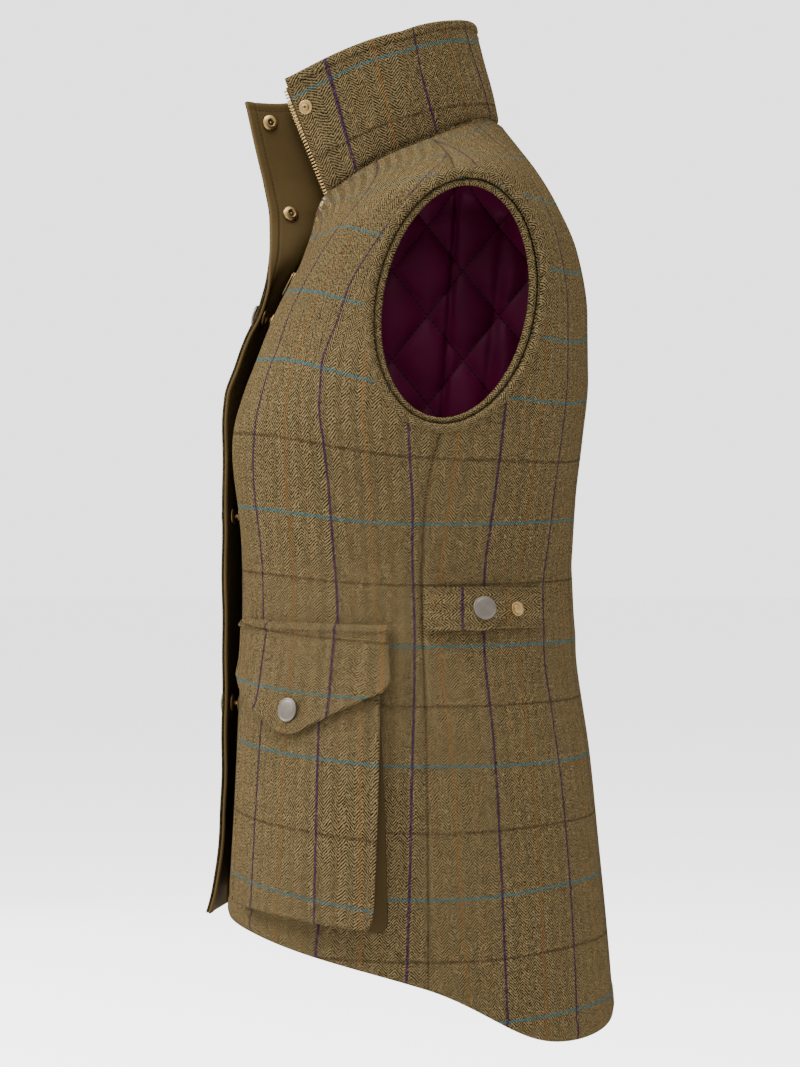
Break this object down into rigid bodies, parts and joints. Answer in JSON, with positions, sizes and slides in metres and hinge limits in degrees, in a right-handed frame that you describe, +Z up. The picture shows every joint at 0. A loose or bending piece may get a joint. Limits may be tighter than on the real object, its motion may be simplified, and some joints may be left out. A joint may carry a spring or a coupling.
{
  "type": "fitted tweed shooting gilet",
  "caption": "Sleeveless fitted tweed gilet with a stand collar, zip under a snap placket, bellows pockets, waist tabs and a quilted lining, in its worn form.",
  "frame": {"origin": "middle of the wearer's neck base, inside the neck seam", "axes": "+Z up, -Y the way the wearer faces, +X the wearer's left"},
  "size_m": [0.4018, 0.3016, 0.7378],
  "materials": {
    "tweed": "brushed wool tweed, matt",
    "tweed_edge": "wool tweed edge, matt",
    "moleskin": "olive moleskin, matt",
    "plum_satin": "plum satin, soft sheen",
    "brass": "satin brass",
    "old_nickel": "aged nickel, satin"
  },
  "bodies": {
    "garment": {"armhole_band_left": "tweed_edge", "armhole_band_right": "tweed_edge", "armhole_facing_left": "tweed_edge", "armhole_facing_right": "tweed_edge", "back": "tweed", "collar": "tweed", "collar_band": "tweed", "front_left": "tweed", "front_right": "tweed", "lining_back": "plum_satin", "lining_front_left": "plum_satin", "lining_front_right": "plum_satin", "placket_facing": "moleskin", "placket_outer": "tweed", "pocket_bag_left": "tweed", "pocket_bag_right": "tweed", "pocket_cap_left": "old_nickel", "pocket_cap_right": "old_nickel", "pocket_flap_left": "tweed", "pocket_flap_right": "tweed", "pocket_gusset_left": "moleskin", "pocket_gusset_right": "moleskin", "snap_cap_1": "old_nickel", "snap_cap_2": "old_nickel", "snap_cap_3": "old_nickel", "snap_cap_4": "old_nickel", "snap_cap_5": "old_nickel", "snap_socket_1": "brass", "snap_socket_2": "brass", "snap_socket_3": "brass", "snap_socket_4": "brass", "snap_socket_5": "brass", "snap_stud_1": "brass", "snap_stud_2": "brass", "snap_stud_3": "brass", "snap_stud_4": "brass", "snap_stud_5": "brass", "tab_cap_left": "old_nickel", "tab_cap_right": "old_nickel", "tab_left": "tweed", "tab_post_left": "brass", "tab_post_right": "brass", "tab_right": "tweed", "under_tab_left": "tweed", "under_tab_right": "tweed", "zip_slider": "brass", "zip_tape_left": "moleskin", "zip_tape_right": "moleskin", "zip_teeth_left": "brass", "zip_teeth_right": "brass"},
    "pull": {"zip_pull": "brass"}
  },
  "joints": [
    {"name": "pull_hinge", "type": "hinge", "parent": "garment", "child": "pull", "pos_m": [0, -0.08214, -0.08264], "axis": [-1, 0, 0], "range_deg": [0, 18]}
  ]
}
